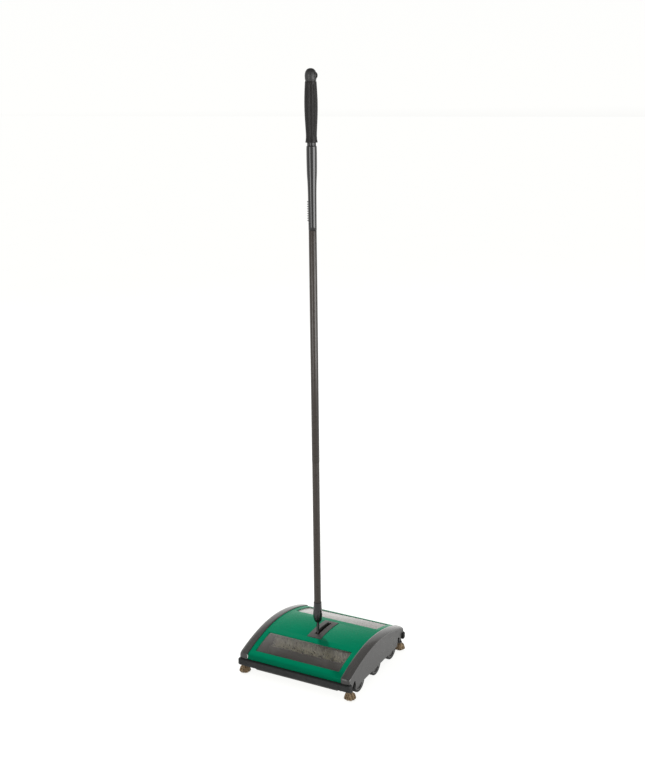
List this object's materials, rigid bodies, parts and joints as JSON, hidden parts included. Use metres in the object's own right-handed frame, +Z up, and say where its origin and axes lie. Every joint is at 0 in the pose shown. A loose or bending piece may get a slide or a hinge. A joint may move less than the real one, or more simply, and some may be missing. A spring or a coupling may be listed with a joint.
{
  "type": "carpet sweeper",
  "caption": "Upright push carpet sweeper: a low green base with clear windows over wheel-driven brush rolls and hinged dust pans, and a long pivoting tube handle.",
  "frame": {"origin": "on the floor under the centre of the base", "axes": "+X to the sweeper's right, +Y to its rear, +Z up along the upright handle"},
  "size_m": [0.246, 0.244, 1.1],
  "materials": {
    "green": "smooth moulded plastic, glossy",
    "trim": "dark grey moulded plastic, satin",
    "chassis": "black moulded plastic",
    "bumper": "soft black strip",
    "smoked": "clear smoked plastic, polished",
    "plate": "dark grey moulded plastic, satin",
    "steel": "plain turned steel",
    "tube": "black enamelled steel tube",
    "grip": "black moulded plastic",
    "tyre": "black rubber tread",
    "hub": "grey moulded plastic",
    "pan": "brown-grey moulded plastic",
    "bristle": "pale natural bristle",
    "tuft": "tan bristle"
  },
  "bodies": {
    "base": {"chassis": "chassis", "top_cover": "green", "window_front": "smoked", "window_rear": "smoked", "end_cap_left": "trim", "end_cap_right": "trim", "bumper_front": "bumper", "bumper_rear": "bumper", "pivot_plate": "plate", "pivot_pin": "steel", "axle_front_left": "steel", "axle_front_right": "steel", "axle_middle_left": "steel", "axle_middle_right": "steel", "axle_rear_left": "steel", "axle_rear_right": "steel", "screw_front_left": "steel", "screw_front_right": "steel", "screw_rear_left": "steel", "screw_rear_right": "steel", "pan_pin_front": "steel", "pan_pin_rear": "steel", "pan_spring_front": "steel", "pan_spring_rear": "steel"},
    "wheel_front_left": {"wheel_hub_front_left": "hub", "wheel_tyre_front_left": "tyre"},
    "wheel_front_right": {"wheel_hub_front_right": "hub", "wheel_tyre_front_right": "tyre"},
    "wheel_middle_left": {"wheel_hub_middle_left": "hub", "wheel_tyre_middle_left": "tyre"},
    "wheel_middle_right": {"wheel_hub_middle_right": "hub", "wheel_tyre_middle_right": "tyre"},
    "wheel_rear_left": {"wheel_hub_rear_left": "hub", "wheel_tyre_rear_left": "tyre"},
    "wheel_rear_right": {"wheel_hub_rear_right": "hub", "wheel_tyre_rear_right": "tyre"},
    "brush_roll_front": {"brush_core_front": "chassis", "brush_bristles_front": "bristle"},
    "brush_roll_rear": {"brush_core_rear": "chassis", "brush_bristles_rear": "bristle"},
    "corner_brush_front_left": {"corner_hub_front_left": "hub", "corner_bristles_front_left": "tuft"},
    "corner_brush_front_right": {"corner_hub_front_right": "hub", "corner_bristles_front_right": "tuft"},
    "corner_brush_rear_left": {"corner_hub_rear_left": "hub", "corner_bristles_rear_left": "tuft"},
    "corner_brush_rear_right": {"corner_hub_rear_right": "hub", "corner_bristles_rear_right": "tuft"},
    "dust_pan_front": {"dust_pan_front": "pan"},
    "dust_pan_rear": {"dust_pan_rear": "pan"},
    "handle": {"handle_stalk": "tube", "handle_socket": "grip", "lower_tube": "tube", "middle_tube": "tube", "upper_tube": "tube", "tube_sleeve": "grip", "grip": "grip", "grip_cap": "grip"}
  },
  "joints": [
    {"name": "handle_pivot", "type": "hinge", "parent": "base", "child": "handle", "pos_m": [0, -0.021, 0.0635], "axis": [-1, 0, 0], "range_deg": [0, 62]},
    {"name": "wheel_front_left_spin", "type": "hinge", "parent": "base", "child": "wheel_front_left", "pos_m": [-0.107, -0.069, 0.022], "axis": [1, 0, 0], "continuous": true},
    {"name": "wheel_front_right_spin", "type": "hinge", "parent": "base", "child": "wheel_front_right", "pos_m": [0.107, -0.069, 0.022], "axis": [1, 0, 0], "continuous": true},
    {"name": "wheel_middle_left_spin", "type": "hinge", "parent": "base", "child": "wheel_middle_left", "pos_m": [-0.107, 0, 0.022], "axis": [1, 0, 0], "continuous": true},
    {"name": "wheel_middle_right_spin", "type": "hinge", "parent": "base", "child": "wheel_middle_right", "pos_m": [0.107, 0, 0.022], "axis": [1, 0, 0], "continuous": true},
    {"name": "wheel_rear_left_spin", "type": "hinge", "parent": "base", "child": "wheel_rear_left", "pos_m": [-0.107, 0.069, 0.022], "axis": [1, 0, 0], "continuous": true},
    {"name": "wheel_rear_right_spin", "type": "hinge", "parent": "base", "child": "wheel_rear_right", "pos_m": [0.107, 0.069, 0.022], "axis": [1, 0, 0], "continuous": true},
    {"name": "brush_roll_front_spin", "type": "hinge", "parent": "base", "child": "brush_roll_front", "pos_m": [0, -0.0345, 0.0259], "axis": [1, 0, 0], "continuous": true},
    {"name": "brush_roll_rear_spin", "type": "hinge", "parent": "base", "child": "brush_roll_rear", "pos_m": [0, 0.0345, 0.0259], "axis": [1, 0, 0], "continuous": true},
    {"name": "corner_brush_front_left_spin", "type": "hinge", "parent": "base", "child": "corner_brush_front_left", "pos_m": [-0.111, -0.1065, 0.0185], "axis": [0, 0, 1], "continuous": true},
    {"name": "corner_brush_front_right_spin", "type": "hinge", "parent": "base", "child": "corner_brush_front_right", "pos_m": [0.111, -0.1065, 0.0185], "axis": [0, 0, 1], "continuous": true},
    {"name": "corner_brush_rear_left_spin", "type": "hinge", "parent": "base", "child": "corner_brush_rear_left", "pos_m": [-0.111, 0.1065, 0.0185], "axis": [0, 0, 1], "continuous": true},
    {"name": "corner_brush_rear_right_spin", "type": "hinge", "parent": "base", "child": "corner_brush_rear_right", "pos_m": [0.111, 0.1065, 0.0185], "axis": [0, 0, 1], "continuous": true},
    {"name": "dust_pan_front_hinge", "type": "hinge", "parent": "base", "child": "dust_pan_front", "pos_m": [0, -0.0655, 0.0142], "axis": [1, 0, 0], "range_deg": [0, 65], "stiffness_Nm_per_rad": 0.05, "springref_deg": -45.84},
    {"name": "dust_pan_rear_hinge", "type": "hinge", "parent": "base", "child": "dust_pan_rear", "pos_m": [0, 0.0655, 0.0142], "axis": [-1, 0, 0], "range_deg": [0, 65], "stiffness_Nm_per_rad": 0.05, "springref_deg": -45.84}
  ],
  "couplings": [
    {"joint": "wheel_front_left_spin", "follows": "wheel_middle_left_spin", "ratio": 1},
    {"joint": "wheel_front_right_spin", "follows": "wheel_middle_left_spin", "ratio": 1},
    {"joint": "wheel_middle_right_spin", "follows": "wheel_middle_left_spin", "ratio": 1},
    {"joint": "wheel_rear_left_spin", "follows": "wheel_middle_left_spin", "ratio": 1},
    {"joint": "wheel_rear_right_spin", "follows": "wheel_middle_left_spin", "ratio": 1},
    {"joint": "brush_roll_front_spin", "follows": "wheel_middle_left_spin", "ratio": -1.7573},
    {"joint": "brush_roll_rear_spin", "follows": "wheel_middle_left_spin", "ratio": -1.7573}
  ]
}
